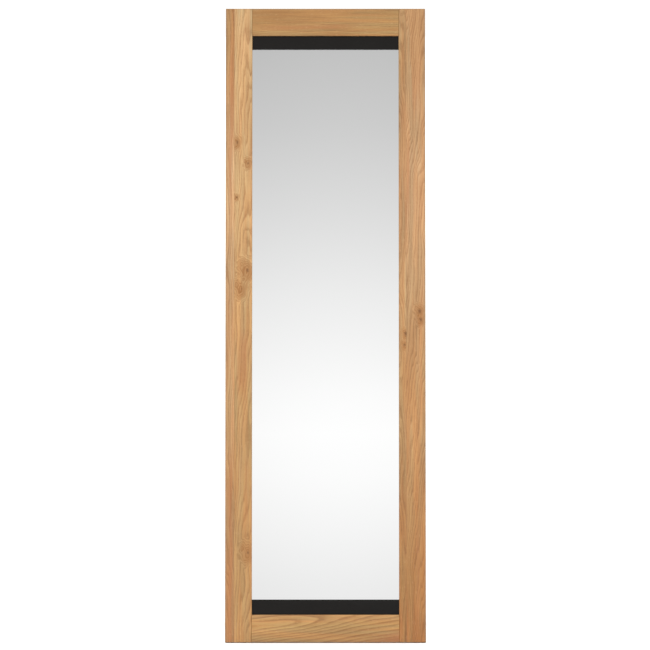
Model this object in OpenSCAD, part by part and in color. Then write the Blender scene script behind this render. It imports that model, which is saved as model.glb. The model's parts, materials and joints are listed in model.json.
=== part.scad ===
// Free-standing full-length floor mirror: an oak frame with black steel bars above and below the glass,
// leaning back on a hinged oak easel stand. Millimetres, +Z up, the glass faces -Y.
// The origin is on the floor, at the middle of the footprint.

/* [Oak frame] */
// Overall width
frame_w = 570; // [480:5:700]
// Length of the frame, measured up its slope
frame_h = 1806; // [1500:2:1950]
// Thickness, front to back
frame_t = 26; // [26:1:34]
// Width of each upright stile
stile_w = 76; // [72:1:100]
// Height of the top and bottom rails
rail_h = 78; // [70:1:110]
// Chamfer on the long oak edges
ease = 1.5; // [0.5:0.5:2]

/* [Steel bars] */
// Height of the bar above the glass
upper_bar_h = 39; // [20:1:70]
// Height of the bar below the glass
lower_bar_h = 43; // [20:1:70]
// Depth of each bar's face behind the oak face
bar_recess = 5; // [3:0.5:6]

/* [Stance] */
// Angle that the frame leans back
lean = 8; // [4:0.5:9]
// Angle between the frame and the open stand
open_angle = 13; // [10:0.5:16]
// Height of the hinge line, measured up the frame
hinge_s = 1350; // [1000:10:1360]

/* [Easel stand] */
// Width of each leg
leg_w = 36; // [34:1:40]
// Thickness of each leg
leg_t = 22; // [20:1:26]
// Thickness of the three cross rails
cross_t = 18; // [16:1:18]

/* [Hidden] */
$fn = 48;
eps = 0.01;
far = 3000;

// Sight opening, and the pockets that hold the glass and the back board
lip_t = 10;
glass_t = 4;
silver_t = 0.3;
pocket_side = 8;
ledge_side = 12;
board_t = 6;
packing_t = 6 - glass_t - silver_t;
glass_gap = 1;
setting_h = 3;
setting_l = 50;
opening_w = frame_w - 2 * stile_w;
opening_h = frame_h - 2 * rail_h;
glass_w = opening_w + 2 * (pocket_side - glass_gap);
glass_h = opening_h + 2 * (pocket_side - setting_h);
board_w = opening_w + 2 * (pocket_side + ledge_side - glass_gap);
board_h = opening_h + 2 * (pocket_side + ledge_side - glass_gap);
pocket_back = lip_t + glass_t + silver_t + packing_t;
board_back = pocket_back + board_t;
bar_notch = 6;
bar_clear = 0.2;

// Butt hinges, one behind each stile
knuckle_r = 3.5;
hinge_play = 0.3;
pin_r = 1.5;
pin_play = 0.05;
pin_head_r = 2.5;
pin_head_t = 0.8;
leaf_t = 2;
leaf_h = 34;
leaf_screw_drop = 20;
leaf_screw_dx = 10;
knuckles = 5;
knuckle_play = 0.3;
hinge_n = frame_t + knuckle_r + hinge_play;
hinge_w = leg_w;
knuckle_w = hinge_w / knuckles;

// Easel stand, in the folded position: n is behind the frame's face, s is up the frame
leg_x = frame_w / 2 - leg_w / 2 - 4;
leg_n = hinge_n + knuckle_r + hinge_play;
leg_top = hinge_s + 3;
leg_trim = 40;
cross_n = leg_n + (leg_t - cross_t) / 2;
cross_l = 2 * leg_x - leg_w;
tenon_l = 15;
tenon_t = 9;
tenon_shoulder = 8;
crossing_at = 0.52;
crosses = [[hinge_s - 60, 60], [hinge_s * crossing_at, 46], [115, 46]];

// Felt pads, floor line and footprint
pad_t = 2;
pad_w = 18;
frame_pad_l = 46;
stand_pad_w = 14;
stand_pad_l = 28;
stand_tilt = open_angle - lean;
hinge_y0 = hinge_s * sin(lean) + hinge_n * cos(lean);
hinge_z = pad_t + hinge_s * cos(lean) - hinge_n * sin(lean);
function foot_y0(e) = hinge_y0
    + (hinge_z - pad_t + e * sin(stand_tilt)) / cos(stand_tilt) * sin(stand_tilt)
    + e * cos(stand_tilt);
leg_front_e = leg_n - hinge_n;
leg_back_e = leg_front_e + leg_t;
depth = foot_y0(leg_back_e);
front_y = -depth / 2;

// Places in the Y-Z plane, from frame coordinates (n back from the face, s up the slope)
function frame_pt(n, s) = [
    front_y + s * sin(lean) + n * cos(lean),
    pad_t + s * cos(lean) - n * sin(lean)
];
function stand_pt(n, s) = frame_pt(
    hinge_n + (n - hinge_n) * cos(open_angle) - (s - hinge_s) * sin(open_angle),
    hinge_s + (n - hinge_n) * sin(open_angle) + (s - hinge_s) * cos(open_angle)
);

// Strap that stops the stand from opening further, and the keeper plates that hold its ends.
// Past each keeper it bends away from the oak: each bend point is [past the keeper's centre, out].
strap_w = 25;
strap_t = 1.6;
strap_tail = 11;
strap_play = 0.1;
strap_bend = [[8, 0], [11, 1], [12.8, 4]];
cleat_w = 46;
cleat_h = 14;
cleat_t = 1.5;
channel_w = strap_w + 1;
channel_t = strap_t + 2 * strap_play;
cleat_screw_dx = 18;
frame_cleat_s = 32;
stand_cleat_s = crosses[2][0] + 5;
frame_strap_n = frame_t + channel_t / 2;
stand_strap_n = cross_n - channel_t / 2;
strap_line = concat(
    [frame_pt(frame_strap_n, frame_cleat_s - strap_tail)],
    [for (b = strap_bend) frame_pt(frame_strap_n + b[1], frame_cleat_s + b[0])],
    [for (i = [len(strap_bend) - 1 : -1 : 0])
        stand_pt(stand_strap_n - strap_bend[i][1], stand_cleat_s - strap_bend[i][0])],
    [stand_pt(stand_strap_n, stand_cleat_s + strap_tail)]
);

// Eye plate for a wall tether, on the back of the top rail
eye_s = frame_h - 30;
eye_plate_w = 64;
eye_plate_h = 24;
eye_t = 2;
eye_out = 26;
eye_r = 3;
eye_screw_dx = 24;

// Fixings
dowel_r = 5;
dowel_l = 60;
dowel_places = [17, 43];
screw_r = 1.75;
screw_head_r = 3.5;
board_screw_l = 14;
board_screw_in = pocket_side + ledge_side / 2;
board_screw_rows = 5;
leaf_screw_l = 16;
cleat_screw_l = 17;
screw_tip_l = 3;
screw_tip_r = 0.4;
recess_w = 0.9;
recess_l = 3.6;
recess_d = 1.3;

oak = [0.79, 0.62, 0.43];
black_steel = [0.13, 0.125, 0.12];
zinc = [0.72, 0.72, 0.70];
felt = [0.30, 0.25, 0.21];

// ---- places ----

// Children are in frame coordinates: x, n back from the face, s up the slope
module in_frame() {
    translate([0, front_y, pad_t]) rotate([-lean, 0, 0]) children();
}

// Children are in the same coordinates, with the stand folded flat
module in_stand() {
    in_frame() translate([0, hinge_n, hinge_s]) rotate([open_angle, 0, 0])
        translate([0, -hinge_n, -hinge_s]) children();
}

// Trims oak level with the top of the felt pads
module trimmed_to_pads() {
    difference() {
        children();
        translate([-far / 2, -far / 2, pad_t - far]) cube([far, far, far]);
    }
}

// The children, turned to point back (+n) or forward (-n), at x and s
module facing_back(x, n, s) {
    translate([x, n, s]) rotate([-90, 0, 0]) children();
}
module facing_front(x, n, s) {
    translate([x, n, s]) rotate([90, 0, 0]) children();
}

module board_screw_places() {
    x = opening_w / 2 + board_screw_in;
    s = rail_h - board_screw_in;
    step = (frame_h - 2 * s) / board_screw_rows;
    for (side = [-1, 1]) {
        for (i = [0 : board_screw_rows - 1])
            facing_back(side * x, board_back, s + step * (i + 0.5)) children();
        for (end = [s, frame_h - s]) facing_back(side * opening_w / 4, board_back, end) children();
    }
}

module frame_leaf_screw_places(x) {
    for (dx = [-1, 1])
        facing_back(x + dx * leaf_screw_dx, frame_t + leaf_t, hinge_s - leaf_screw_drop) children();
}

module stand_leaf_screw_places(x) {
    for (dx = [-1, 1])
        facing_front(x + dx * leaf_screw_dx, leg_n - leaf_t, hinge_s - leaf_screw_drop) children();
}

module frame_cleat_screw_places() {
    for (dx = [-1, 1])
        facing_back(dx * cleat_screw_dx, frame_t + channel_t + cleat_t, frame_cleat_s) children();
}

module stand_cleat_screw_places() {
    for (dx = [-1, 1])
        facing_front(dx * cleat_screw_dx, cross_n - channel_t - cleat_t, stand_cleat_s) children();
}

module eye_screw_places() {
    for (dx = [-1, 1]) facing_back(dx * eye_screw_dx, frame_t + eye_t, eye_s) children();
}

module dowel_places(x) {
    for (s = dowel_places) for (at = [s, frame_h - s])
        translate([x, frame_t / 2, at]) rotate([0, 90, 0]) children();
}

// ---- hardware shapes ----

// Countersunk wood screw along -Z, its head flush with Z = 0
module screw_body(length) {
    cone = screw_head_r - screw_r;
    translate([0, 0, -cone]) cylinder(h = cone, r1 = screw_r, r2 = screw_head_r);
    translate([0, 0, -length + screw_tip_l])
        cylinder(h = length - screw_tip_l - cone + eps, r = screw_r);
    translate([0, 0, -length]) cylinder(h = screw_tip_l + eps, r1 = screw_tip_r, r2 = screw_r);
}

module screw(length) {
    difference() {
        screw_body(length);
        for (turn = [0, 90]) rotate([0, 0, turn])
            translate([-recess_l / 2, -recess_w / 2, -recess_d]) cube([recess_l, recess_w, 2 * recess_d]);
    }
}

module dowel() {
    cylinder(h = dowel_l, r = dowel_r, center = true);
}

// A flat bar along +Z with chamfered long edges, centred on X, from Y = 0 to its thickness
module eased_bar(w, t, l) {
    linear_extrude(height = l) polygon([
        [-w / 2 + ease, 0], [w / 2 - ease, 0], [w / 2, ease], [w / 2, t - ease],
        [w / 2 - ease, t], [-w / 2 + ease, t], [-w / 2, t - ease], [-w / 2, ease]
    ]);
}

// A pad with round ends, standing on Z = 0
module felt_pad(length, width) {
    straight = length - width;
    color(felt) {
        translate([-straight / 2, -width / 2, 0]) cube([straight, width, pad_t]);
        for (side = [-1, 1]) translate([side * straight / 2, 0, 0]) cylinder(h = pad_t, r = width / 2);
    }
}

// ---- oak frame ----

// Sight opening and the two pockets behind it: each is [start, how far it reaches past the opening]
module glass_pockets() {
    for (cut = [[-1, 0], [lip_t, pocket_side], [pocket_back, pocket_side + ledge_side]])
        translate([-opening_w / 2 - cut[1], cut[0], rail_h - cut[1]])
            cube([opening_w + 2 * cut[1], 2 * frame_t, opening_h + 2 * cut[1]]);
}

// Notches behind the lip, where the ends of the steel bars sit
module bar_notches() {
    w = opening_w + 2 * bar_notch;
    for (bar = [[rail_h, lower_bar_h], [frame_h - rail_h - upper_bar_h, upper_bar_h]])
        translate([-w / 2, bar_recess, bar[0]]) cube([w, lip_t, bar[1]]);
}

module stile(side) {
    x = side * (frame_w - stile_w) / 2;
    color(oak) trimmed_to_pads() in_frame() difference() {
        translate([x, 0, 0]) eased_bar(stile_w, frame_t, frame_h);
        glass_pockets();
        bar_notches();
        dowel_places(side * opening_w / 2) dowel();
        board_screw_places() screw_body(board_screw_l);
        frame_leaf_screw_places(side * leg_x) screw_body(leaf_screw_l);
    }
}

module rail(s) {
    color(oak) trimmed_to_pads() in_frame() difference() {
        translate([-opening_w / 2, 0, s]) cube([opening_w, frame_t, rail_h]);
        glass_pockets();
        for (side = [-1, 1]) dowel_places(side * opening_w / 2) dowel();
        board_screw_places() screw_body(board_screw_l);
        frame_cleat_screw_places() screw_body(cleat_screw_l);
        eye_screw_places() screw_body(leaf_screw_l);
    }
}

module left_stile() { stile(-1); }
module right_stile() { stile(1); }
module top_rail() { rail(frame_h - rail_h); }
module bottom_rail() { rail(0); }

module frame_dowels() {
    color("burlywood") in_frame() for (side = [-1, 1]) dowel_places(side * opening_w / 2) dowel();
}

// ---- steel bars, glass and back ----

module steel_bar(s, h) {
    w = opening_w + 2 * (bar_notch - bar_clear);
    color(black_steel) in_frame()
        translate([-w / 2, bar_recess, s + bar_clear])
            cube([w, lip_t - bar_recess, h - 2 * bar_clear]);
}

module upper_steel_bar() { steel_bar(frame_h - rail_h - upper_bar_h, upper_bar_h); }
module lower_steel_bar() { steel_bar(rail_h, lower_bar_h); }

module pane(n, w, h, t) {
    in_frame() translate([-w / 2, n, (frame_h - h) / 2]) cube([w, t, h]);
}

module mirror_glass() { color("lightcyan") pane(lip_t, glass_w, glass_h, glass_t); }
module silver_coating() { color("silver") pane(lip_t + glass_t, glass_w, glass_h, silver_t); }
module glass_packing() { color("white") pane(lip_t + glass_t + silver_t, glass_w, glass_h, packing_t); }

module glass_setting_blocks() {
    for (side = [-1, 1]) color("dimgray") in_frame()
        translate([side * glass_w / 4 - setting_l / 2, lip_t, rail_h - pocket_side])
            cube([setting_l, glass_t, setting_h]);
}

module back_board() {
    color("saddlebrown") difference() {
        pane(pocket_back, board_w, board_h, board_t);
        in_frame() board_screw_places() screw_body(board_screw_l);
    }
}

module back_board_screws() {
    color(zinc) in_frame() board_screw_places() screw(board_screw_l);
}

// ---- pads under the stiles ----

module frame_pad(side) {
    translate([side * (frame_w - stile_w) / 2, front_y + frame_t / cos(lean) / 2, 0])
        felt_pad(frame_pad_l, pad_w);
}
module left_frame_pad() { frame_pad(-1); }
module right_frame_pad() { frame_pad(1); }

// ---- tether eye ----

module tether_eye_plate() {
    color(black_steel) in_frame() difference() {
        union() {
            translate([-eye_plate_w / 2, frame_t, eye_s - eye_plate_h / 2])
                cube([eye_plate_w, eye_t, eye_plate_h]);
            translate([-eye_t / 2, frame_t, eye_s - eye_plate_h / 2])
                cube([eye_t, eye_out - eye_plate_h / 2, eye_plate_h]);
            translate([-eye_t / 2, frame_t + eye_out - eye_plate_h / 2, eye_s])
                rotate([0, 90, 0]) cylinder(h = eye_t, r = eye_plate_h / 2);
        }
        translate([-eye_t, frame_t + eye_out - eye_plate_h / 2, eye_s])
            rotate([0, 90, 0]) cylinder(h = 2 * eye_t, r = eye_r);
        eye_screw_places() screw_body(leaf_screw_l);
    }
}

module tether_plate_screws() {
    color(zinc) in_frame() eye_screw_places() screw(leaf_screw_l);
}

// ---- hinges ----

// Knuckle i of a hinge, counted from its -X end. As a cutter it is longer and wider by the play.
module knuckle(i, play) {
    translate([-hinge_w / 2 + i * knuckle_w + knuckle_play / 2 - play, 0, 0]) rotate([0, 90, 0])
        cylinder(h = knuckle_w - knuckle_play + 2 * play, r = knuckle_r + play);
}

// A leaf hanging from the hinge line, its plate behind the line (side 1) or in front of it (side -1).
// Every second knuckle is its own, from the given first one.
module leaf(side, first, bore_r) {
    face_n = knuckle_r + hinge_play;
    plate_n = side > 0 ? face_n - leaf_t : -face_n;
    difference() {
        union() {
            translate([-hinge_w / 2, plate_n, -leaf_h]) cube([hinge_w, leaf_t, leaf_h]);
            for (i = [first : 2 : knuckles - 1]) knuckle(i, 0);
        }
        for (i = [1 - first : 2 : knuckles - 1]) knuckle(i, knuckle_play);
        translate([-hinge_w, 0, 0]) rotate([0, 90, 0]) cylinder(h = 2 * hinge_w, r = bore_r);
    }
}

module frame_leaf(side) {
    color(black_steel) in_frame() difference() {
        translate([side * leg_x, hinge_n, hinge_s]) leaf(-1, 0, pin_r);
        frame_leaf_screw_places(side * leg_x) screw_body(leaf_screw_l);
    }
}
module left_hinge_frame_leaf() { frame_leaf(-1); }
module right_hinge_frame_leaf() { frame_leaf(1); }

module stand_leaf(side) {
    color(black_steel) in_stand() difference() {
        translate([side * leg_x, hinge_n, hinge_s]) leaf(1, 1, pin_r + pin_play);
        stand_leaf_screw_places(side * leg_x) screw_body(leaf_screw_l);
    }
}
module left_hinge_stand_leaf() { stand_leaf(-1); }
module right_hinge_stand_leaf() { stand_leaf(1); }

// Pin with a thin head outside each end knuckle
module hinge_pin(side) {
    color(zinc) in_frame() translate([side * leg_x, hinge_n, hinge_s]) rotate([0, 90, 0]) {
        cylinder(h = hinge_w, r = pin_r, center = true);
        for (end = [-1, 1])
            translate([0, 0, end * (hinge_w / 2 + pin_head_t / 2 - knuckle_play / 2)])
                cylinder(h = pin_head_t, r = pin_head_r, center = true);
    }
}
module left_hinge_pin() { hinge_pin(-1); }
module right_hinge_pin() { hinge_pin(1); }

module hinge_frame_screws() {
    color(zinc) in_frame() for (side = [-1, 1])
        frame_leaf_screw_places(side * leg_x) screw(leaf_screw_l);
}

module hinge_stand_screws() {
    color(zinc) in_stand() for (side = [-1, 1])
        stand_leaf_screw_places(side * leg_x) screw(leaf_screw_l);
}

// ---- easel stand ----

// Cross rail i between the legs, or only its tenons
module cross_rail(i) {
    at = crosses[i][0];
    h = crosses[i][1];
    in_stand() translate([0, cross_n, at - h / 2]) {
        translate([-cross_l / 2, 0, 0]) cube([cross_l, cross_t, h]);
        translate([-cross_l / 2 - tenon_l, (cross_t - tenon_t) / 2, tenon_shoulder])
            cube([cross_l + 2 * tenon_l, tenon_t, h - 2 * tenon_shoulder]);
    }
}

module leg(side) {
    color(oak) trimmed_to_pads() difference() {
        in_stand() translate([side * leg_x, leg_n, -leg_trim])
            eased_bar(leg_w, leg_t, leg_top + leg_trim);
        for (i = [0 : len(crosses) - 1]) cross_rail(i);
        in_stand() stand_leaf_screw_places(side * leg_x) screw_body(leaf_screw_l);
    }
}
module left_leg() { leg(-1); }
module right_leg() { leg(1); }

module stand_top_rail() { color(oak) cross_rail(0); }
module stand_middle_rail() { color(oak) cross_rail(1); }
module stand_bottom_rail() {
    color(oak) difference() {
        cross_rail(2);
        in_stand() stand_cleat_screw_places() screw_body(cleat_screw_l);
    }
}

module stand_pad(side) {
    middle = (foot_y0(leg_front_e) + foot_y0(leg_back_e)) / 2;
    translate([side * leg_x, front_y + middle, 0]) felt_pad(stand_pad_l, stand_pad_w);
}
module left_stand_pad() { stand_pad(-1); }
module right_stand_pad() { stand_pad(1); }

// ---- strap and its cleats ----

function unit(v) = v / norm(v);
function left_of(v) = [-v[1], v[0]];
// The line's points, moved sideways by d
function beside(line, d) = [
    for (i = [0 : len(line) - 1])
        let (
            before = i > 0 ? unit(line[i] - line[i - 1]) : unit(line[1] - line[0]),
            after = i < len(line) - 1 ? unit(line[i + 1] - line[i]) : before
        )
        line[i] + left_of(unit(before + after)) * d / cos(acos(min(1, before * after)) / 2)
];

module stay_strap() {
    one_side = beside(strap_line, strap_t / 2);
    other_side = beside(strap_line, -strap_t / 2);
    outline = concat(one_side, [for (i = [len(other_side) - 1 : -1 : 0]) other_side[i]]);
    color("dimgray") rotate([90, 0, 90]) translate([0, 0, -strap_w / 2])
        linear_extrude(height = strap_w) polygon(outline);
}

// Keeper plate from n back, at s, with a channel for the strap that starts at channel_n
module cleat(n, s, channel_n) {
    difference() {
        translate([-cleat_w / 2, n, s - cleat_h / 2]) cube([cleat_w, channel_t + cleat_t, cleat_h]);
        translate([-channel_w / 2, channel_n, s - cleat_h]) cube([channel_w, channel_t, 2 * cleat_h]);
    }
}

module frame_strap_cleat() {
    color(black_steel) in_frame() difference() {
        cleat(frame_t, frame_cleat_s, frame_t);
        frame_cleat_screw_places() screw_body(cleat_screw_l);
    }
}

module stand_strap_cleat() {
    color(black_steel) in_stand() difference() {
        cleat(cross_n - channel_t - cleat_t, stand_cleat_s, cross_n - channel_t);
        stand_cleat_screw_places() screw_body(cleat_screw_l);
    }
}

module frame_cleat_screws() { color(zinc) in_frame() frame_cleat_screw_places() screw(cleat_screw_l); }
module stand_cleat_screws() { color(zinc) in_stand() stand_cleat_screw_places() screw(cleat_screw_l); }

left_stile();
right_stile();
top_rail();
bottom_rail();
frame_dowels();
upper_steel_bar();
lower_steel_bar();
mirror_glass();
silver_coating();
glass_packing();
glass_setting_blocks();
back_board();
back_board_screws();
left_frame_pad();
right_frame_pad();
tether_eye_plate();
tether_plate_screws();
left_hinge_frame_leaf();
right_hinge_frame_leaf();
left_hinge_pin();
right_hinge_pin();
hinge_frame_screws();
left_hinge_stand_leaf();
right_hinge_stand_leaf();
hinge_stand_screws();
left_leg();
right_leg();
stand_top_rail();
stand_middle_rail();
stand_bottom_rail();
left_stand_pad();
right_stand_pad();
stay_strap();
frame_strap_cleat();
stand_strap_cleat();
frame_cleat_screws();
stand_cleat_screws();
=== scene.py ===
"""Looks of the oak floor mirror: materials, the webbing strap, studio light, floor and camera.

Metres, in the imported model's own frame. The glass faces -Y. The patterns of the materials, and the places
of boards, knots and streaks, are in millimetres.
"""

import json
from collections import namedtuple
from math import atan2, cos, pi, radians, sin, sqrt

import bmesh
import bpy
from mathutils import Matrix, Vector


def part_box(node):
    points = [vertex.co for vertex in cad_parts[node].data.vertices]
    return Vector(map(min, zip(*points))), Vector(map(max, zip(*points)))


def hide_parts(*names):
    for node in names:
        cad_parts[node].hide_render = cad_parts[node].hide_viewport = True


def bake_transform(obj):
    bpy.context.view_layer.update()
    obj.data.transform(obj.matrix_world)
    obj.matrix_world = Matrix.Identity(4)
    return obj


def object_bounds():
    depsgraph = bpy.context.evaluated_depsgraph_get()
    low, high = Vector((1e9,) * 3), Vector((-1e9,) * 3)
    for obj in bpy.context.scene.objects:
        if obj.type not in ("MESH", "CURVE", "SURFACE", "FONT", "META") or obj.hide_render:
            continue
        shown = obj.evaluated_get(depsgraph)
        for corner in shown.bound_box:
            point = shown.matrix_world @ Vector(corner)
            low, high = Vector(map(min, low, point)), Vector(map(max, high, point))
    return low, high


MM = 0.001

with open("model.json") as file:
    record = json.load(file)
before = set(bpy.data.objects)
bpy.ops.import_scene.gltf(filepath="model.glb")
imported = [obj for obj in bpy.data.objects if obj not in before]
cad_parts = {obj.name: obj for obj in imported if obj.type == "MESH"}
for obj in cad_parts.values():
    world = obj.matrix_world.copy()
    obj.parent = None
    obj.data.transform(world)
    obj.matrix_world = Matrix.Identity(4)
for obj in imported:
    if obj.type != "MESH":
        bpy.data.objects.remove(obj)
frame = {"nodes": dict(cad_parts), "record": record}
CAD_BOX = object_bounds()


# ---- places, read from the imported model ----


def corners(node):
    """Every corner of a node's mesh, at rest."""
    return [v.co.copy() for v in frame["nodes"][node].data.vertices]


def slope(node):
    """How far a leaning node is turned about X: minus is leaning back."""
    faces = frame["nodes"][node].data.polygons
    normal = max(faces, key=lambda f: f.area * (abs(f.normal.x) < 0.1)).normal
    side = 1 if normal.y > 0 else -1
    return atan2(normal.z * side, normal.y * side)


def leaning(angle):
    """Up along a leaning piece, and into it from its front."""
    return Vector((0, -sin(angle), cos(angle))), Vector((0, cos(angle), sin(angle)))


def width_of(node):
    low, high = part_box(node)
    return high.x - low.x


LEAN = slope("mirror_glass")
TILT = slope("stand_middle_rail")
UP_FRAME, INTO_FRAME = leaning(LEAN)
UP_STAND, INTO_STAND = leaning(TILT)
HINGE = Vector(frame["record"]["behaviour"]["joints"][0]["pos_m"])

# The foot of the frame's face, in the middle
FOOT = min(corners("left_stile"), key=lambda p: p.dot(INTO_FRAME) * 100 + p.dot(UP_FRAME))
FOOT.x = 0
FRAME_LENGTH = max((p - FOOT).dot(UP_FRAME) for p in corners("left_stile"))

# The frame's face in millimetres: half its width, half its opening, its length, and its thickness
HALF = (CAD_BOX[1].x - CAD_BOX[0].x) / 2 / MM
INNER = HALF - width_of("left_stile") / MM
TOP = FRAME_LENGTH / MM
THICK = max((p - FOOT).dot(INTO_FRAME) for p in corners("left_stile")) / MM


# ---- node building ----


class Nodes:
    """A node tree being built. Each method adds nodes and gives back an output socket."""

    def __init__(self, tree):
        self.tree = tree

    def node(self, kind, inputs=None, output=0, **settings):
        made = self.tree.nodes.new("ShaderNode" + kind)
        for key, value in settings.items():
            setattr(made, key, value)
        for key, value in (inputs or {}).items():
            self.set(made.inputs[key], value)
        return made.outputs[output]

    def set(self, socket, value):
        if isinstance(value, bpy.types.NodeSocket):
            self.tree.links.new(value, socket)
        else:
            socket.default_value = value

    def split(self, vector):
        return self.node("SeparateXYZ", {0: vector}).node.outputs

    def join(self, *parts):
        return self.node("CombineXYZ", dict(enumerate(parts)))

    def math(self, operation, *values, clamp=False):
        return self.node("Math", dict(enumerate(values)), operation=operation, use_clamp=clamp)

    def hypot(self, *sides):
        return self.node("VectorMath", {0: self.join(*sides)}, 1, operation="LENGTH")

    def off(self, value, middle):
        """How far a value is from the middle."""
        return self.math("ABSOLUTE", self.math("SUBTRACT", value, middle))

    def step(self, value, low, high, bottom=0.0, top=1.0):
        """Rises smoothly from bottom to top as value goes from low to high."""
        inputs = {"Value": value, "From Min": low, "From Max": high, "To Min": bottom, "To Max": top}
        return self.node("MapRange", inputs, interpolation_type="SMOOTHSTEP")

    def mix(self, factor, first, second, blend="MIX"):
        made = self.tree.nodes.new("ShaderNodeMix")
        made.data_type = "RGBA"
        made.blend_type = blend
        for index, value in ((0, factor), (6, first), (7, second)):
            if index and not isinstance(value, bpy.types.NodeSocket):
                value = (*value[:3], 1)
            self.set(made.inputs[index], value)
        return made.outputs[2]

    def ramp(self, value, stops, ease="LINEAR"):
        """Colour or grey stops, each (place, colour or number)."""
        made = self.tree.nodes.new("ShaderNodeValToRGB")
        made.color_ramp.interpolation = ease
        points = made.color_ramp.elements
        while len(points) < len(stops):
            points.new(0.5)
        for point, (place, colour) in zip(points, stops):
            point.position = place
            point.color = (*colour, 1) if hasattr(colour, "__len__") else (colour,) * 3 + (1,)
        self.set(made.inputs[0], value)
        return made.outputs[0]


class Shader(Nodes):
    """A material being built on a Principled surface."""

    def __init__(self, name):
        self.material = bpy.data.materials.new(name)
        self.material.use_nodes = True
        super().__init__(self.material.node_tree)
        self.surface = self.tree.nodes["Principled BSDF"]

    def give(self, **inputs):
        """Set the surface's sockets, named with _ for a space."""
        for key, value in inputs.items():
            self.set(self.surface.inputs[key.replace("_", " ")], value)

    def object_mm(self, origin=(0, 0, 0), turn=0.0):
        """Position in millimetres from origin, in axes turned about X with the leaning piece."""
        inputs = {
            "Vector": self.node("TexCoord", output="Object"),
            "Location": origin,
            "Rotation": (turn, 0, 0),
            "Scale": (MM, MM, MM),
        }
        return self.node("Mapping", inputs, vector_type="TEXTURE")

    def noise(self, vector, scale=1.0, detail=2.0, rough=0.5, twist=0.0, output=0):
        inputs = {"Vector": vector, "Scale": scale, "Detail": detail, "Roughness": rough, "Distortion": twist}
        return self.node("TexNoise", inputs, output)

    def bump(self, height, distance, strength=1.0, under=None):
        inputs = {"Height": height, "Distance": distance, "Strength": strength}
        if under is not None:
            inputs["Normal"] = under
        return self.node("Bump", inputs)


# ---- oak ----

# One board of oak: its mean colour, or its colours at the foot, waist, chest and head of the frame, which
# are partly the board's own tone and partly a painted sheen, palest about the chest. Then, in millimetres,
# where the heart of the tree lies to the side and behind the face. Then the share of the length by which the
# heart drifts away behind, the slope of the grain, the width of a ring, and how boldly the rings show. Where
# two boards are glued side by side, the first one runs upto that place across.
Board = namedtuple(
    "Board", "tones side behind drift lean ring bold upto", defaults=(0, 60, 0.02, 0.0, 3.0, 1.0, 0.0)
)

# A knot's place across and along, the radius of the swirl about it, and that of its dark heart
Knot = namedtuple("Knot", "across along swirl heart")

# A long band of browner wood: its middle across, half its width, where it starts and ends, its strength
# and its slope
Streak = namedtuple("Streak", "across half start end strength rise", defaults=(0.0,))

# Where along the frame the four colours of a board are, with their painted sheen, as shares of its length
SHEEN_AND_TONE_PLACES = (0.05, 0.38, 0.72, 0.97)

# The darkest and palest wood of a board, and its hues, as shares of its mean colour
DARK_SHARE = (0.66, 0.54, 0.43)
PALE_SHARE = (1.36, 1.42, 1.50)
TAN_SHARE = (0.94, 1.00, 1.02)
ORANGE_SHARE = (1.05, 0.96, 0.86)
ROSY_SHARE = (1.03, 0.99, 1.01)

# What marks the wood, and the painted shade along its outer edges and ends
LINE_BROWN = (0.26, 0.115, 0.040)
STREAK_BROWN = (0.30, 0.112, 0.036)
FLECK_PALE = (0.56, 0.36, 0.19)
PORE_BROWN = (0.165, 0.068, 0.020)
SWIRL_BROWN = (0.215, 0.086, 0.020)
KNOT_BROWN = (0.115, 0.044, 0.011)
GLUE_BROWN = (0.16, 0.075, 0.03)
# Painted shade along the rounded outer edges, and the darker end grain with painted shade along the ends
PAINTED_EDGE_SHADE = (0.205, 0.135, 0.078)
END_GRAIN_AND_PAINTED_SHADE = (0.175, 0.105, 0.052)

# Mean colours of the stand's boards, and of the dowels
HONEY_OAK = (0.33, 0.180, 0.066)
PLAIN_OAK = (0.32, 0.170, 0.062)
BEECH = (0.58, 0.40, 0.24)

# How far apart in the tree two pieces are, and two boards of one piece, so that their figure differs
PIECE_APART = 311.0
BOARD_APART = 700.0


class Wood:
    """The axes of a piece of oak, the one or two boards that it is made of, and noise along its grain."""

    def __init__(self, shader, body, along, boards, seed):
        s = self.shader = shader
        self.seed = seed
        self.first, self.last = boards[0], boards[-1]
        self.glued = len(boards) > 1
        origin, turn = (FOOT, LEAN) if body == "mirror" else (HINGE, TILT)
        x, self.into, up = s.split(s.object_mm(origin, turn))
        self.across, self.length = (x, up) if along == "z" else (up, x)
        self.is_last = s.math("GREATER_THAN", self.across, self.first.upto) if self.glued else 0.0
        self.shift = s.math("MULTIPLY_ADD", self.is_last, BOARD_APART, seed * PIECE_APART)
        self.spot = s.join(self.across, s.math("ADD", self.length, self.shift), self.into)
        wander = self.noise(0.012, 0.0034, shift=(seed, 0, 0), detail=2.0, rough=0.4, output=1)
        self.sway = [s.math("SUBTRACT", part, 0.5) for part in s.split(wander)]

    def noise(self, across, along, into=None, shift=(0, 0, 0), detail=3.0, rough=0.5, output=0):
        """Noise drawn out along the grain, with so many waves per millimetre across, along and into it."""
        scale = (across, along, into or across)
        place = self.shader.node("Mapping", {"Vector": self.spot, "Scale": scale, "Location": shift})
        return self.shader.noise(place, 1.0, detail, rough, output=output)

    def choose(self, key):
        """A number of whichever board the point is in."""
        first, last = getattr(self.first, key), getattr(self.last, key)
        return self.shader.math("MULTIPLY_ADD", self.is_last, last - first, first) if self.glued else first

    def tone(self, board):
        """A board's one mean colour, or its colours one above the other, with a painted sheen palest about
        the chest.
        """
        if len(board.tones) != len(SHEEN_AND_TONE_PLACES):
            return board.tones
        share = self.shader.math("DIVIDE", self.length, TOP)
        return self.shader.ramp(share, tuple(zip(SHEEN_AND_TONE_PLACES, board.tones)), "EASE")

    # The board's colour, or its colours up the frame with their painted sheen
    def board_tone_and_sheen(self):
        if not self.glued:
            return self.tone(self.first)
        return self.shader.mix(self.is_last, self.tone(self.first), self.tone(self.last))


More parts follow.
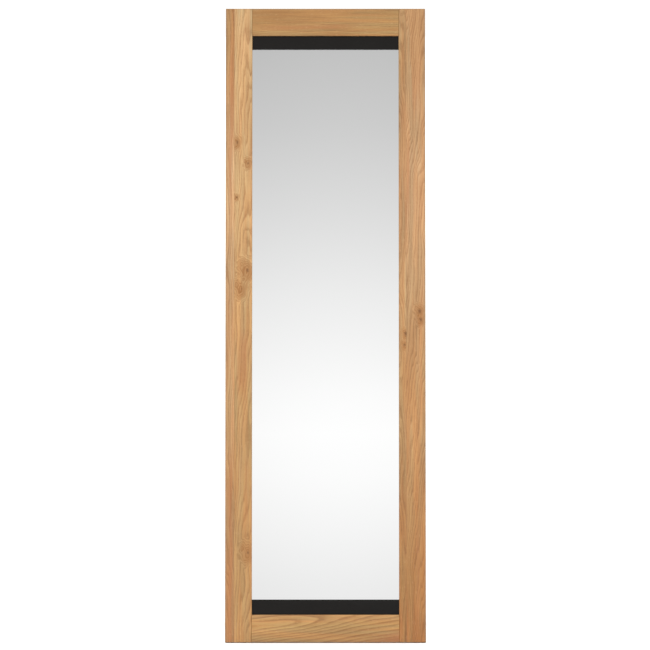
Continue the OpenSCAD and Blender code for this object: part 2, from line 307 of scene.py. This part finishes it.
def knot_effect(wood, knot):
    """How a knot pushes the rings around it, its dark heart, and the browner wood about it."""
    s = wood.shader
    swirl, core = knot.swirl, knot.heart
    aside = s.math("SUBTRACT", wood.across, knot.across)
    along = s.math("MULTIPLY", s.math("SUBTRACT", wood.length, knot.along), 0.62)
    beside = s.join(aside, along, swirl)
    far = s.hypot(aside, along)
    wavy = s.math("SUBTRACT", s.noise(beside, 0.8 / swirl, 1.0, 0.4), 0.5)
    bent = s.math("MULTIPLY_ADD", wavy, swirl * 1.6, far)
    torn = s.math("SUBTRACT", s.noise(beside, 1.5 / core, 3.0, 0.7), 0.5)
    ragged = s.math("MULTIPLY_ADD", torn, core * 4.5, far)
    push = s.step(bent, 0.0, swirl * 1.8, swirl * 0.95, 0.0)
    heart = s.step(ragged, core * 0.3, core * 1.2, 1.0, 0.0)
    halo = s.step(bent, swirl * 0.35, swirl * 1.5, 1.0, 0.0)
    return push, heart, halo


def tree_radius(wood, knots):
    """How far the point was from the heart of the tree, which wanders slowly, and the knots' two masks."""
    s = wood.shader
    side = s.math("SUBTRACT", wood.across, s.math("MULTIPLY", wood.length, wood.choose("lean")))
    side = s.math("SUBTRACT", side, wood.choose("side"))
    side = s.math("MULTIPLY_ADD", wood.sway[0], 22.0, side)
    behind = s.math("ADD", wood.into, wood.choose("behind"))
    behind = s.math("MULTIPLY_ADD", wood.length, wood.choose("drift"), behind)
    behind = s.math("MULTIPLY_ADD", wood.sway[1], 26.0, behind)
    ripple = wood.noise(0.09, 0.010, detail=2.0, rough=0.45)
    radius = s.math("MULTIPLY_ADD", ripple, 4.0, s.hypot(side, behind))

    hearts = halos = 0.0
    for knot in knots:
        push, heart, halo = knot_effect(wood, knot)
        its_board = wood.is_last if knot.across > wood.first.upto else s.math("SUBTRACT", 1.0, wood.is_last)
        radius = s.math("MULTIPLY_ADD", push, its_board, radius)
        hearts = s.math("MAXIMUM", hearts, heart)
        halos = s.math("MAXIMUM", halos, s.math("MULTIPLY", halo, its_board))
    return radius, hearts, halos


def growth_rings(wood, radius):
    """A number of the year's own, and how dense its wood is, from open spring wood to dense summer wood."""
    s = wood.shader
    rings = s.math("DIVIDE", radius, wood.choose("ring"))
    rings = s.math("MULTIPLY_ADD", s.noise(s.join(rings), 0.23, 1.0), 2.0, rings)
    count = s.math("ADD", s.math("FLOOR", rings), wood.shift)
    year = s.node("TexWhiteNoise", {"W": count}, noise_dimensions="1D")
    growth = ((0.0, 0.0), (0.1, 0.06), (0.45, 0.75), (0.86, 1.0), (1.0, 0.2))
    return year, s.ramp(s.math("FRACT", rings), growth, "EASE")


def streak_mask(wood, streak):
    s = wood.shader
    middle = (streak.start + streak.end) / 2
    reach = (streak.end - streak.start) / 2
    sloping = s.math("MULTIPLY_ADD", s.math("SUBTRACT", wood.length, middle), streak.rise, streak.across)
    wandering = s.math("MULTIPLY_ADD", wood.sway[2], streak.half * 2.5, wood.across)
    band = s.step(s.off(wandering, sloping), streak.half * 0.2, streak.half * 1.3, streak.strength, 0.0)
    return s.math("MULTIPLY", band, s.step(s.off(wood.length, middle), reach * 0.4, reach, 1.0, 0.0))


def clear_wood(wood, year, summer, fibre, patch):
    """The wood before its marks: rings, slow changes of tone and hue, and thin fibres, on the board's colours
    with their painted sheen.
    """
    s, seed = wood.shader, wood.seed
    cloud = wood.noise(0.035, 0.0034, shift=(3, 1, seed))
    hue = wood.noise(0.06, 0.0028, shift=(5, seed, 2), rough=0.55)
    blush = wood.noise(0.075, 0.0036, shift=(1, 7, seed), detail=2.0)
    light = s.math("MULTIPLY", s.math("SUBTRACT", summer, 0.5), s.math("MULTIPLY", wood.choose("bold"), 0.34))
    light = s.math("ADD", light, -0.54)
    light = s.math("MULTIPLY_ADD", year, 0.18, light)
    light = s.math("MULTIPLY_ADD", cloud, 0.90, light)
    light = s.math("MULTIPLY_ADD", patch, 0.55, light)
    light = s.math("MULTIPLY_ADD", fibre, 0.45, light, clamp=True)
    share = s.mix(light, DARK_SHARE, PALE_SHARE)
    share = s.mix(1.0, share, s.mix(s.step(hue, 0.38, 0.62), TAN_SHARE, ORANGE_SHARE), "MULTIPLY")
    share = s.mix(1.0, share, s.mix(s.step(blush, 0.50, 0.70), (1, 1, 1), ROSY_SHARE), "MULTIPLY")
    return s.mix(1.0, wood.board_tone_and_sheen(), share, "MULTIPLY")


# Painted shade along the given outer edges, strongest at the arris, and at the given ends the darker end
# grain with painted shade along them
def paint_edge_shade_and_dark_ends(wood, colour, edges, ends, fibre, patch):
    s = wood.shader
    # Painted shade along each rounded outer edge
    for edge in edges:
        to_face = s.math("PINGPONG", wood.into, THICK / 2)
        near = s.hypot(s.math("SUBTRACT", wood.across, edge), to_face)
        near = s.math("MULTIPLY_ADD", patch, 3.0, near)
        colour = s.mix(s.step(near, 2.0, 7.0, 0.50, 0.0), colour, PAINTED_EDGE_SHADE)
    for end in ends:
        # At each end, the end grain on the end face is darker, and painted shade runs along the end on the
        # other faces
        near = s.math("MULTIPLY_ADD", fibre, 2.0, s.off(wood.length, end))
        colour = s.mix(s.step(near, 1.0, 4.0, 0.55, 0.0), colour, END_GRAIN_AND_PAINTED_SHADE)
    return colour


def oak(name, body, along, boards, knots=(), streaks=(), edges=(), ends=(), seed=0.0):
    """Oak of one board, or of two glued side by side.

    The rings are circles about the heart of the tree, which drifts from the face along the board, so that
    a near heart gives arches and a far one gives straight lines. Along the edges, places across, painted
    shade darkens the rounded arris. The ends, places along, are darker: the end grain itself on the end
    faces, and painted shade along the ends on the other faces.
    """
    s = Shader(name)
    wood = Wood(s, body, along, boards, seed)
    radius, heart, halo = tree_radius(wood, knots)
    year, summer = growth_rings(wood, radius)
    patch = wood.noise(0.12, 0.0075, shift=(8, 4, seed), rough=0.6)
    fibre = wood.noise(0.8, 0.0075, rough=0.6)
    line = s.step(wood.noise(0.34, 0.0045, shift=(0, 9, 2), rough=0.6), 0.54, 0.70)
    fleck = s.step(wood.noise(0.5, 0.07, 0.9, (7, 0, 0), detail=1.0), 0.62, 0.72)
    pore = s.step(wood.noise(1.9, 0.09, detail=1.5), 0.52, 0.66)
    pore = s.math("MULTIPLY", pore, s.math("MULTIPLY_ADD", summer, -0.85, 1.0))

    colour = clear_wood(wood, year, summer, fibre, patch)
    colour = s.mix(s.math("MULTIPLY", line, 0.34), colour, LINE_BROWN)
    for streak in streaks:
        mask = s.math("MULTIPLY", streak_mask(wood, streak), s.step(fibre, 0.2, 0.7, 0.6, 1.0))
        colour = s.mix(mask, colour, STREAK_BROWN)
    colour = s.mix(s.math("MULTIPLY", fleck, 0.16), colour, FLECK_PALE)
    colour = s.mix(s.math("MULTIPLY", pore, 0.52), colour, PORE_BROWN)
    swirl = s.math("MULTIPLY", halo, s.math("MULTIPLY_ADD", summer, -0.50, 1.0))
    colour = s.mix(swirl, colour, SWIRL_BROWN)
    colour = s.mix(s.math("MULTIPLY", heart, 0.92), colour, KNOT_BROWN)

    height = s.math("MULTIPLY_ADD", pore, -1.0, s.math("MULTIPLY", fibre, 0.35))
    height = s.math("MULTIPLY_ADD", summer, 0.2, height)
    if wood.glued:  # a hairline of glue between the boards
        glue = s.step(s.off(wood.across, wood.first.upto), 0.1, 0.7, 1.0, 0.0)
        colour = s.mix(s.math("MULTIPLY", glue, 0.45), colour, GLUE_BROWN)
        height = s.math("MULTIPLY_ADD", glue, -0.6, height)
    # The base colour takes painted shade along the outer edges and at the ends
    s.give(
        Base_Color=paint_edge_shade_and_dark_ends(wood, colour, edges, ends, fibre, patch),
        Roughness=s.math("MULTIPLY_ADD", pore, 0.22, s.math("MULTIPLY_ADD", fibre, 0.12, 0.38)),
        Normal=s.bump(height, 0.12 * MM, 0.5),
    )
    return s.material


# ---- other materials ----


def powder_coat(name, colour):
    """Black powder-coated steel, with its fine orange peel."""
    s = Shader(name)
    place = s.object_mm()
    peel = s.noise(place, 1.1, 2.0, 0.55)
    cloud = s.noise(place, 0.02, 3.0)
    s.give(
        Base_Color=s.mix(cloud, colour, tuple(c * 1.35 for c in colour)),
        Roughness=s.math("MULTIPLY_ADD", cloud, 0.14, 0.40),
        Specular_IOR_Level=0.17,
        Normal=s.bump(peel, 0.05 * MM, 0.35),
    )
    return s.material


def mirror(name):
    """Silvered float glass: a clear reflection, with the faintest tint and smudge."""
    s = Shader(name)
    smudge = s.step(s.noise(s.object_mm(), 0.006, 4.0, 0.6), 0.45, 0.8)
    s.give(
        Base_Color=(0.924, 0.926, 0.924, 1),
        Metallic=1.0,
        Roughness=s.math("MULTIPLY", smudge, 0.035),
    )
    return s.material


def silver_back(name):
    """The grey backing paint over the silvering."""
    s = Shader(name)
    place = s.object_mm()
    s.give(
        Base_Color=s.mix(s.noise(place, 0.01, 3.0), (0.20, 0.22, 0.23), (0.25, 0.27, 0.28)),
        Metallic=0.35,
        Roughness=0.5,
        Normal=s.bump(s.noise(place, 0.8, 2.0), 0.03 * MM, 0.3),
    )
    return s.material


def foam(name):
    """White polyethylene foam sheet, with its cells."""
    s = Shader(name)
    cells = s.node("TexVoronoi", {"Vector": s.object_mm(), "Scale": 0.9})
    s.give(
        Base_Color=s.mix(cells, (0.86, 0.86, 0.85), (0.70, 0.70, 0.69)),
        Roughness=0.85,
        Normal=s.bump(cells, 0.3 * MM, 0.6),
    )
    return s.material


def rubber(name):
    """Black rubber with a fine grit."""
    s = Shader(name)
    grit = s.noise(s.object_mm(), 1.5, 3.0)
    s.give(
        Base_Color=s.mix(grit, (0.018, 0.018, 0.018), (0.05, 0.05, 0.048)),
        Roughness=s.math("MULTIPLY_ADD", grit, 0.2, 0.6),
        Normal=s.bump(grit, 0.1 * MM, 0.4),
    )
    return s.material


def fibreboard(name):
    """Brown hardboard: pressed fibres, mottled, with a faint sheen on its smooth face."""
    s = Shader(name)
    place = s.object_mm(FOOT, LEAN)
    fibres = s.noise(place, 0.9, 4.0, 0.65, 1.4)
    specks = s.step(s.noise(place, 0.45, 2.0, 0.5, 2.0), 0.60, 0.72)
    cloud = s.step(s.noise(place, 0.011, 4.0, 0.6), 0.35, 0.65)
    colour = s.mix(fibres, (0.17, 0.085, 0.036), (0.33, 0.185, 0.09))
    colour = s.mix(s.math("MULTIPLY", cloud, 0.30), colour, (0.36, 0.205, 0.105))
    colour = s.mix(s.math("MULTIPLY", specks, 0.55), colour, (0.095, 0.045, 0.02))
    s.give(
        Base_Color=colour,
        Roughness=s.math("MULTIPLY_ADD", fibres, 0.25, 0.42),
        Normal=s.bump(fibres, 0.12 * MM, 0.35),
    )
    return s.material


def zinc(name):
    """Bright zinc plate, a little uneven and faintly yellow."""
    s = Shader(name)
    place = s.object_mm()
    cloud = s.noise(place, 0.35, 3.0)
    s.give(
        Base_Color=s.mix(cloud, (0.62, 0.61, 0.57), (0.74, 0.72, 0.66)),
        Metallic=1.0,
        Roughness=s.math("MULTIPLY_ADD", cloud, 0.22, 0.20),
        Normal=s.bump(s.noise(place, 3.0, 2.0), 0.01 * MM, 0.5),
    )
    return s.material


def felt(name):
    """Brown felt, with its fuzz."""
    s = Shader(name)
    fuzz = s.noise(s.object_mm(), 2.2, 5.0, 0.7, 2.0)
    s.give(
        Base_Color=s.mix(fuzz, (0.045, 0.033, 0.026), (0.16, 0.125, 0.10)),
        Roughness=0.95,
        Sheen_Weight=0.5,
        Normal=s.bump(fuzz, 0.4 * MM, 0.9),
    )
    return s.material


# The webbing's weave, in millimetres: half a herringbone, one pick and one cord
HERRINGBONE = 3.1
PICK = 1.5
CORD = 0.78


def webbing(name):
    """Charcoal herringbone webbing. The weave runs with the piece's own UV map, in millimetres."""
    s = Shader(name)
    across, along, _ = s.split(s.node("UVMap", uv_map="weave"))
    column = s.math("PINGPONG", across, HERRINGBONE)
    picks = s.math("SINE", s.math("MULTIPLY", s.math("ADD", along, column), 2 * pi / PICK))
    cords = s.math("SINE", s.math("MULTIPLY", across, 2 * pi / CORD))
    weave = s.math("MULTIPLY_ADD", picks, 0.32, s.math("MULTIPLY_ADD", cords, 0.18, 0.5))
    hairs = s.noise(s.object_mm(), 3.5, 3.0, 0.65)
    colour = s.mix(weave, (0.020, 0.019, 0.018), (0.105, 0.098, 0.092))
    colour = s.mix(s.math("MULTIPLY", hairs, 0.3), colour, (0.13, 0.12, 0.11))
    s.give(
        Base_Color=colour,
        Roughness=0.82,
        Sheen_Weight=0.3,
        Normal=s.bump(weave, 0.35 * MM, 0.8, s.bump(hairs, 0.1 * MM, 0.4)),
    )
    return s.material


# ---- dressing the CAD nodes ----


def dress(material, *nodes):
    for node in nodes:
        data = frame["nodes"][node].data
        data.materials.clear()
        data.materials.append(material)


def ease_edges(width, *nodes):
    """Round the square edges. The countersinks and chamfers, at 45 degrees, stay as they are."""
    for node in nodes:
        piece = frame["nodes"][node]
        piece.modifiers.new("weld", "WELD").merge_threshold = 1e-6
        bevel = piece.modifiers.new("ease", "BEVEL")
        bevel.width = width
        bevel.segments = 3
        bevel.limit_method = "ANGLE"
        bevel.angle_limit = radians(60)
        bevel.use_clamp_overlap = False
        bevel.harden_normals = False


def left_stile_oak():
    # Each board's colours, foot to head, are its own tone with a painted sheen, palest about the chest
    outer = Board(
        ((0.252, 0.122, 0.044), (0.300, 0.168, 0.070), (0.357, 0.225, 0.114), (0.248, 0.126, 0.045)),
        side=-HALF - 30, behind=95, drift=0.010, ring=2.9, upto=-HALF + 25,
    )
    inner = Board(
        ((0.305, 0.168, 0.060), (0.272, 0.157, 0.060), (0.356, 0.215, 0.093), (0.350, 0.228, 0.108)),
        side=-HALF + 78, behind=60, drift=0.030, ring=3.0, bold=1.1,
    )
    return oak(
        "oak_left_stile", "mirror", "z", [outer, inner],
        knots=[
            Knot(-HALF + 33, TOP - 384, 12, 3.0),
            Knot(-HALF + 64, TOP - 443, 10, 2.2),
            Knot(-HALF + 32, TOP - 541, 7, 2.4),
            Knot(-HALF + 63, TOP - 750, 20, 3.4),
            Knot(-HALF + 46, TOP - 802, 17, 1.5),
            Knot(-HALF + 65, TOP - 1552, 18, 2.6),
        ],
        streaks=[
            Streak(-HALF + 15, 6, 0, 620, 0.5),
            Streak(-HALF + 16, 5, 1150, 1790, 0.6),
            Streak(-HALF + 8, 5, 700, 1100, 0.4),
            Streak(-HALF + 46, 13, 690, 900, 0.45),
            Streak(-HALF + 62, 6, 300, 560, 0.3),
        ],
        # Painted shade along the outer edge, and the darker end grain with painted shade along both ends
        edges=(-HALF,),
        ends=(0, TOP),
        seed=1.0,
    )


def right_stile_oak():
    # Each board's colours, foot to head, are its own tone with a painted sheen, palest about the chest
    inner = Board(
        ((0.243, 0.112, 0.031), (0.302, 0.172, 0.069), (0.298, 0.174, 0.080), (0.262, 0.146, 0.059)),
        side=INNER - 40, behind=160, drift=0.008, ring=2.3, upto=INNER + 21,
    )
    outer = Board(
        ((0.255, 0.114, 0.031), (0.284, 0.152, 0.059), (0.335, 0.195, 0.093), (0.280, 0.162, 0.072)),
        side=INNER + 125, behind=190, drift=0.034, ring=2.4, bold=1.1,
    )
    return oak(
        "oak_right_stile", "mirror", "z", [inner, outer],
        knots=[
            Knot(HALF - 17, TOP - 866, 12, 4.6),
            Knot(HALF - 14, TOP - 890, 10, 3.8),
            Knot(INNER + 19, TOP - 930, 10, 4.0),
            Knot(INNER + 16, TOP - 962, 9, 2.8),
        ],
        streaks=[Streak(HALF - 24, 5, 0, 380, 0.4)],
        # Painted shade along the outer edge, and the darker end grain with painted shade along both ends
        edges=(HALF,),
        ends=(0, TOP),
        seed=2.0,
    )


def top_rail_oak():
    return oak(
        "oak_top_rail", "mirror", "x",
        [Board((0.248, 0.136, 0.045), side=TOP - 150, behind=60, ring=3.2, bold=1.4)],
        streaks=[Streak(TOP - 52, 8, -230, 130, 0.5)],
        # Painted shade along the frame's top edge
        edges=(TOP,),
        seed=3.0,
    )


def bottom_rail_oak():
    return oak(
        "oak_bottom_rail", "mirror", "x",
        [Board((0.298, 0.165, 0.055), side=70, behind=24, drift=0.085, lean=0.12, ring=8.0, bold=1.4)],
        streaks=[Streak(8, 28, 60, 400, 1.0, rise=0.20)],
        # Painted shade along the frame's bottom edge
        edges=(0,),
        seed=4.0,
    )


dress(left_stile_oak(), "left_stile")
dress(right_stile_oak(), "right_stile")
dress(top_rail_oak(), "top_rail")
dress(bottom_rail_oak(), "bottom_rail")
for order, node in enumerate(("left_leg", "right_leg")):
    grown = Board(PLAIN_OAK, side=160 - 320 * order, behind=70, drift=0.014, ring=2.8)
    dress(oak("oak_" + node, "stand", "z", [grown], seed=5.0 + order), node)
for order, node in enumerate(("stand_top_rail", "stand_middle_rail", "stand_bottom_rail")):
    grown = Board(HONEY_OAK, side=30 * order, behind=40, drift=0.03, ring=3.1)
    dress(oak("oak_" + node, "stand", "x", [grown], seed=7.0 + order), node)
dress(oak("beech", "mirror", "x", [Board(BEECH, behind=30, drift=0.0, ring=2.5)], seed=12.0), "frame_dowels")

dress(
    powder_coat("black_powder_coat", (0.0040, 0.0033, 0.0028)),
    "upper_steel_bar", "lower_steel_bar", "tether_eye_plate",
    "left_hinge_frame_leaf", "right_hinge_frame_leaf",
    "left_hinge_stand_leaf", "right_hinge_stand_leaf",
    "frame_strap_cleat", "stand_strap_cleat",
)
dress(mirror("silvered_glass"), "mirror_glass")
dress(silver_back("backing_paint"), "silver_coating")
dress(foam("foam_sheet"), "glass_packing")
dress(rubber("black_rubber"), "glass_setting_blocks")
dress(fibreboard("brown_hardboard"), "back_board")
dress(
    zinc("zinc_plate"),
    "back_board_screws", "tether_plate_screws", "hinge_frame_screws", "hinge_stand_screws",
    "frame_cleat_screws", "stand_cleat_screws", "left_hinge_pin", "right_hinge_pin",
)
dress(felt("brown_felt"), "left_frame_pad", "right_frame_pad", "left_stand_pad", "right_stand_pad")

ease_edges(0.2 * MM, "left_stile", "right_stile", "top_rail", "bottom_rail")
ease_edges(0.7 * MM, "left_leg", "right_leg", "stand_top_rail", "stand_middle_rail", "stand_bottom_rail")
ease_edges(0.35 * MM, "upper_steel_bar", "lower_steel_bar", "back_board")


# ---- the webbing strap ----

STRAP_W = width_of("stay_strap")
STRAP_T = 1.5 * MM
STRAP_TAIL = 11 * MM
STRAP_COLUMNS = 13
CLEAT_T = 1.5 * MM

# From the middle of a cleat, how far the strap has gone along the oak, and out from it, as it bends away
STRAP_BEND = ((8 * MM, 0), (11 * MM, 1 * MM), (12.8 * MM, 4 * MM))

# The selvedge: how wide it is, and how thick its outer edge is as a share of the strap
SELVEDGE_W = 0.9 * MM
SELVEDGE_SHARE = 0.45


def strap_in_cleat(node, out):
    """The middle of the strap where it passes under a cleat's plate, which is out from the oak."""
    low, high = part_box(node)
    middle = (low + high) / 2
    return Vector((0, middle.y, middle.z)) - out * CLEAT_T / 2


def strap_route():
    """Up from the frame's cleat, bent out, straight across, and bent up through the stand's cleat."""
    start = strap_in_cleat("frame_strap_cleat", INTO_FRAME)
    end = strap_in_cleat("stand_strap_cleat", -INTO_STAND)
    leaving = [start + UP_FRAME * up + INTO_FRAME * out for up, out in STRAP_BEND]
    arriving = [end - UP_STAND * up - INTO_STAND * out for up, out in reversed(STRAP_BEND)]
    return [start - UP_FRAME * STRAP_TAIL, start, *leaving, *arriving, end, end + UP_STAND * STRAP_TAIL]


def along_route(points, spacing):
    """The route's points, with more between them at most spacing apart, and the length to each."""
    places, run = [points[0]], [0.0]
    for a, b in zip(points, points[1:]):
        count = max(1, round((b - a).length / spacing))
        for i in range(1, count + 1):
            places.append(a.lerp(b, i / count))
            run.append(run[-1] + (b - a).length / count)
    return places, run


def strap_section():
    """Across and out, all round the strap: its front from left to right, then its back."""
    section = []
    for side in (1, -1):
        for column in range(STRAP_COLUMNS):
            across = (column / (STRAP_COLUMNS - 1) - 0.5) * side
            inside = min(1.0, (0.5 - abs(across)) * STRAP_W / SELVEDGE_W)
            thick = SELVEDGE_SHARE + (1 - SELVEDGE_SHARE) * sqrt(max(0.0, inside))
            section.append((across * STRAP_W, STRAP_T / 2 * thick * side))
    return section


def make_strap():
    places, run = along_route(strap_route(), 3 * MM)
    mesh = bmesh.new()
    weave = mesh.loops.layers.uv.new("weave")
    rows = []
    for before, place, after in zip([places[0], *places], places, [*places[1:], places[-1]]):
        out = Vector((1, 0, 0)).cross((after - before).normalized())
        rows.append([mesh.verts.new(place + Vector((x, 0, 0)) + out * y) for x, y in strap_section()])
    for i, (row, following) in enumerate(zip(rows, rows[1:])):
        for j, corner in enumerate(row):
            k = (j + 1) % len(row)
            face = mesh.faces.new((corner, row[k], following[k], following[j]))
            face.smooth = True
            for loop in face.loops:
                loop[weave].uv = (loop.vert.co.x / MM, run[i if loop.vert in row else i + 1] / MM)
    for row in (rows[0], rows[-1]):
        mesh.faces.new(row)
    bmesh.ops.recalc_face_normals(mesh, faces=mesh.faces)
    data = bpy.data.meshes.new("webbing_strap")
    mesh.to_mesh(data)
    mesh.free()
    piece = bpy.data.objects.new("webbing_strap", data)
    bpy.context.collection.objects.link(piece)
    data.materials.append(webbing("charcoal_webbing"))
    return piece, places, run


strap, strap_places, strap_run = make_strap()
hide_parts("stay_strap")
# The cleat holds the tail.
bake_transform(strap)


# ---- studio ----

# How bright the room is at each height above the horizon, in degrees. In front of the glass it is a wall
# with a band of light on it, which the glass reflects, and there is a bright ceiling all round.
FRONT_WALL = (
    (0.0, 1.25), (2.2, 0.95), (5.2, 0.745), (6.7, 0.812), (7.7, 0.885), (8.5, 0.938),
    (9.2, 0.962), (9.8, 0.938), (11.5, 0.812), (12.9, 0.69), (14.2, 0.588), (15.6, 0.512),
    (18.0, 0.45), (24.0, 0.45), (40.0, 1.75), (90.0, 1.75),
)
BACK_WALL = ((0.0, 1.0), (26.0, 1.0), (40.0, 1.75), (90.0, 1.75))
ROOM_LIGHT = 1.12

# The light on the front wall: where its middle is, how far it reaches aside, and how dim the wall is there
GLOW_MIDDLE = 0.0057
GLOW_REACH = 0.08
GLOW_EDGE = 0.86

# Where the front wall turns into the back wall, either side of straight aside
WALL_TURN = 0.35

LIGHT_SIZE = (1.0, 1.4)
LIGHT_AIM = Vector((0, 0, 1.25))

FLOOR_REACH = 300.0

CAMERA_AWAY = 10.0
CAMERA_RISE = radians(5.0)
CAMERA_LENS = 194.6
CAMERA_SENSOR = 36
AIM_OFFSET = Vector((-0.0014, 0, -0.0026))


def world_light():
    """A pale room, with no edges or corners."""
    world = bpy.data.worlds.new("studio")
    bpy.context.scene.world = world
    world.use_nodes = True
    w = Nodes(world.node_tree)
    x, y, z = w.split(w.node("TexCoord", output="Generated"))

    def wall(stops):
        return w.ramp(z, [(sin(radians(degrees)), grey) for degrees, grey in stops])

    glow = w.step(w.off(x, GLOW_MIDDLE), 0.0, GLOW_REACH, 1.0, GLOW_EDGE)
    front = w.node("VectorMath", {0: wall(FRONT_WALL), "Scale": glow}, operation="SCALE")
    room = w.mix(w.step(y, -WALL_TURN, WALL_TURN), front, wall(BACK_WALL))
    background = w.tree.nodes["Background"]
    w.set(background.inputs["Color"], room)
    w.set(background.inputs["Strength"], ROOM_LIGHT)


def soft_box(name, place, power):
    """A soft light on the front of the mirror that doesn't show in the glass or on the bars."""
    light = bpy.data.lights.new(name, "AREA")
    light.shape = "RECTANGLE"
    light.size, light.size_y = LIGHT_SIZE
    light.energy = power
    lamp = bpy.data.objects.new(name, light)
    lamp.location = place
    lamp.rotation_euler = (LIGHT_AIM - Vector(place)).to_track_quat("-Z", "Y").to_euler()
    lamp.visible_glossy = False
    bpy.context.collection.objects.link(lamp)


def lay_floor():
    reach = FLOOR_REACH
    places = [(-reach, -reach, 0), (reach, -reach, 0), (reach, reach, 0), (-reach, reach, 0)]
    data = bpy.data.meshes.new("floor")
    data.from_pydata(places, [], [(0, 1, 2, 3)])
    floor = bpy.data.objects.new("floor", data)
    bpy.context.collection.objects.link(floor)
    s = Shader("pale_floor")
    s.give(Base_Color=(0.93, 0.93, 0.93, 1), Roughness=0.7, Specular_IOR_Level=0.2)
    data.materials.append(s.material)


def place_camera():
    """Far off and nearly square to the glass, at the height that shows the frame's slight taper."""
    middle = FOOT + UP_FRAME * FRAME_LENGTH / 2
    data = bpy.data.cameras.new("camera")
    data.sensor_width = CAMERA_SENSOR
    data.lens = CAMERA_LENS
    camera = bpy.data.objects.new("camera", data)
    camera.location = middle + Vector((0, -cos(CAMERA_RISE), sin(CAMERA_RISE))) * CAMERA_AWAY
    aim = middle + AIM_OFFSET - camera.location
    camera.rotation_euler = aim.to_track_quat("-Z", "Y").to_euler()
    bpy.context.collection.objects.link(camera)
    bpy.context.scene.camera = camera


world_light()
lay_floor()
place_camera()
soft_box("key_light", (-1.7, -1.9, 1.35), 30)
soft_box("fill_light", (1.7, -1.9, 1.35), 22)
bpy.context.scene.view_settings.view_transform = "Standard"
